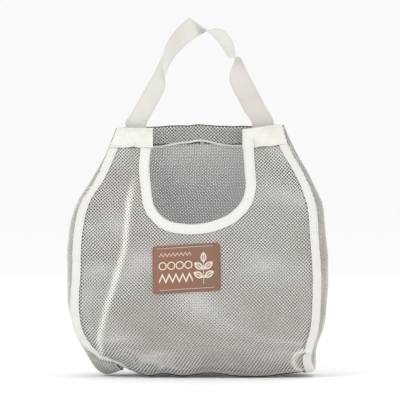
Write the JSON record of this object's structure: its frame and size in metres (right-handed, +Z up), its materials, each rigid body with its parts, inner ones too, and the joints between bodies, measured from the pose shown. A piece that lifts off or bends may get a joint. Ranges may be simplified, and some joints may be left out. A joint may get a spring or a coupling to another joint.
{
  "type": "mesh produce bag",
  "caption": "Filled net bag with side gussets, bound seams, a scooped front mouth with a taped edge, shoulder bands, a sewn label and one twisted webbing strap that swings.",
  "frame": {"origin": "middle of the bag's box, on the surface that its base stands on", "axes": "+Z up through the strap, the scooped front faces -Y, +X to the right of someone who looks at the front"},
  "size_m": [0.3313, 0.1497, 0.451],
  "materials": {
    "net": "matt white polyester netting",
    "tape": "matt white twill tape",
    "band": "matt cream tape",
    "webbing": "matt off-white webbing",
    "label": "matt brown woven label with cream print"
  },
  "bodies": {
    "bag": {"front_mesh_panel": "net", "back_mesh_panel": "net", "base_mesh_panel": "net", "left_side_panel": "net", "right_side_panel": "net", "left_side_hem": "net", "right_side_hem": "net", "back_top_hem": "net", "left_seam_binding": "tape", "right_seam_binding": "tape", "scoop_binding": "tape", "left_shoulder_band": "band", "right_shoulder_band": "band", "left_strap_tail": "webbing", "right_strap_tail": "webbing", "label": "label"},
    "handle": {"strap": "webbing"}
  },
  "joints": [
    {"name": "handle_swing", "type": "hinge", "parent": "bag", "child": "handle", "pos_m": [0, 0.0067, 0.32], "axis": [1, 0, 0], "range_deg": [-90, 90]}
  ]
}
